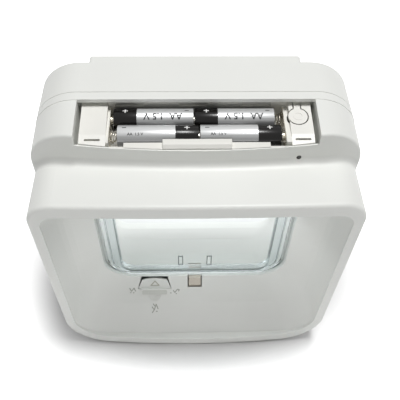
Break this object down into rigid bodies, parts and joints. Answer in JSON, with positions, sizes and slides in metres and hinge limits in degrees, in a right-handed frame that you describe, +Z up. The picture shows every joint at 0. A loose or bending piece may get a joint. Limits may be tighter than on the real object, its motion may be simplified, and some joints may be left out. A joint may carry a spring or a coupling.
{
  "type": "cat flap",
  "caption": "Indoor unit of a cat flap: moulded hood and funnel round a clear swinging flap, with a motor latch, a lock key and an open battery bay with cells.",
  "frame": {"origin": "centre of the rectangle of door fixing screws, in the flat face that lies on the door", "axes": "+X to the right seen from indoors, +Y out through the door, +Z up"},
  "size_m": [0.21, 0.109, 0.221],
  "materials": {
    "white_abs": "fine moulded texture, satin",
    "warm_white_abs": "smooth moulded",
    "clear_polycarbonate": "polished, clear",
    "smoked_polycarbonate": "polished, dark tint",
    "grey_acetal": "smooth moulded",
    "natural_acetal": "smooth moulded",
    "black_nylon": "smooth moulded",
    "clear_silicone": "smooth, milky",
    "steel_rod": "drawn and ground",
    "nickel_plate": "nickel plated",
    "cell_jacket": "printed film over a steel can",
    "motor_can": "zinc plated can",
    "circuit_board": "solder mask",
    "copper_winding": "enamelled wire",
    "lead_jacket": "smooth",
    "lamp_body": "clear resin"
  },
  "bodies": {
    "housing": {"front_housing": "white_abs", "rear_housing": "white_abs", "spindle_bush_left": "natural_acetal", "spindle_bush_right": "natural_acetal", "brush_seal": "clear_silicone", "gear_axle": "steel_rod", "mechanism_bracket": "black_nylon", "latch_motor": "motor_can", "key_pin": "steel_rod", "battery_tray": "warm_white_abs", "cell_rear_left": "cell_jacket", "cell_rear_right": "cell_jacket", "cell_front_left": "cell_jacket", "cell_front_right": "cell_jacket", "positive_contact": "nickel_plate", "negative_contact": "nickel_plate", "bridge_contact": "nickel_plate", "control_board": "circuit_board", "status_led": "lamp_body", "light_pipe": "smoked_polycarbonate", "button_switch": "black_nylon", "coil_former": "natural_acetal", "reader_coil": "copper_winding", "housing_screws": "steel_rod", "board_screws": "steel_rod", "bracket_screws": "steel_rod", "motor_lead": "lead_jacket", "coil_lead": "lead_jacket"},
    "flap": {"flap_panel": "clear_polycarbonate", "flap_spindle": "steel_rod"},
    "latch": {"latch_carriage": "natural_acetal", "latch_catch": "grey_acetal", "outer_catch": "grey_acetal"},
    "gear": {"latch_gear": "natural_acetal"},
    "pinion": {"motor_pinion": "natural_acetal"},
    "key": {"lock_key": "white_abs"},
    "button": {"settings_button": "warm_white_abs"}
  },
  "joints": [
    {"name": "flap_swing", "type": "hinge", "parent": "housing", "child": "flap", "pos_m": [0, -0.058, 0.0565], "axis": [1, 0, 0], "range_deg": [-75, 80]},
    {"name": "pinion_turn", "type": "hinge", "parent": "housing", "child": "pinion", "pos_m": [0.04225, -0.052, -0.0925], "axis": [0, 1, 0], "range_deg": [-171.8, 0]},
    {"name": "gear_turn", "type": "hinge", "parent": "housing", "child": "gear", "pos_m": [0.02225, -0.052, -0.0925], "axis": [0, 1, 0], "range_deg": [0, 58]},
    {"name": "latch_lift", "type": "slide", "parent": "housing", "child": "latch", "axis": [0, 0, 1], "range_m": [0, 0.006]},
    {"name": "key_rock", "type": "hinge", "parent": "housing", "child": "key", "pos_m": [0, -0.06515, -0.07389], "axis": [1, 0, 0], "range_deg": [-8, 0]},
    {"name": "button_press", "type": "hinge", "parent": "housing", "child": "button", "pos_m": [0.063, -0.0324, 0.1012], "axis": [1, 0, 0], "range_deg": [0, 4], "stiffness_Nm_per_rad": 0.6}
  ],
  "couplings": [
    {"joint": "gear_turn", "follows": "latch_lift", "rad_per_m": 166.67},
    {"joint": "pinion_turn", "follows": "latch_lift", "rad_per_m": -500}
  ]
}
